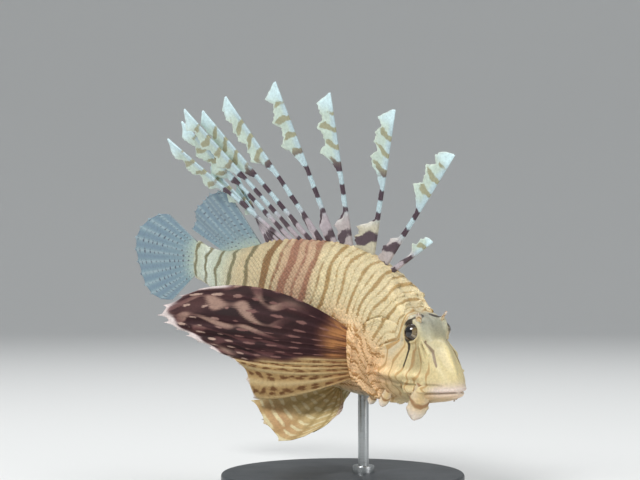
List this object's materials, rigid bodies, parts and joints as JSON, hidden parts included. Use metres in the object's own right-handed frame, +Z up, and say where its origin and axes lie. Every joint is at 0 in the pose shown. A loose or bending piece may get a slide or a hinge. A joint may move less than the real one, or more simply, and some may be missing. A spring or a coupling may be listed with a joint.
{
  "type": "red lionfish",
  "caption": "Still, life-size model of a red lionfish with raised back spines and spread fins, head low, on a round display stand.",
  "frame": {"origin": "centre of the underside of the stand's round base, where it rests", "axes": "+Z up; the fish heads towards +X, turned towards -Y and nose down, with its head bent further towards -Y"},
  "size_m": [0.2012, 0.2002, 0.2277],
  "materials": {
    "skin": "moist scaled fish skin, cream to tan with brown bars",
    "eye": "wet glossy eye",
    "spine": "pale banded fin spine with a thin skin leaf",
    "clear_fin": "thin translucent fin with speckled rays",
    "dark_fin": "dark maroon fin with pale dashes along the rays",
    "tan_fin": "tan fin with brown spots",
    "stand_base": "satin off-white paint",
    "stand_rod": "brushed"
  },
  "bodies": {
    "root": {"head": "skin", "lower_jaw": "skin", "gill_cover_right": "skin", "gill_cover_left": "skin", "eye_right": "eye", "eye_left": "eye", "trunk_front": "skin", "trunk_rear": "skin", "tail_stalk": "skin", "anal_fin": "clear_fin", "brow_tentacle_left": "skin", "brow_tentacle_right": "skin", "caudal_fin": "clear_fin", "cheek_tentacle_left": "skin", "cheek_tentacle_right": "skin", "dorsal_spine_01": "spine", "dorsal_spine_02": "spine", "dorsal_spine_03": "spine", "dorsal_spine_04": "spine", "dorsal_spine_05": "spine", "dorsal_spine_06": "spine", "dorsal_spine_07": "spine", "dorsal_spine_08": "spine", "dorsal_spine_09": "spine", "dorsal_spine_10": "spine", "dorsal_spine_11": "spine", "dorsal_spine_12": "spine", "dorsal_spine_13": "spine", "jaw_tentacle_left": "skin", "jaw_tentacle_right": "skin", "pectoral_fin_left": "dark_fin", "pectoral_fin_right": "dark_fin", "pelvic_fin_left": "tan_fin", "pelvic_fin_right": "tan_fin", "snout_tentacle_left": "skin", "snout_tentacle_right": "skin", "soft_dorsal_fin": "clear_fin", "stand_base": "stand_base", "stand_rod": "stand_rod"}
  },
  "joints": []
}
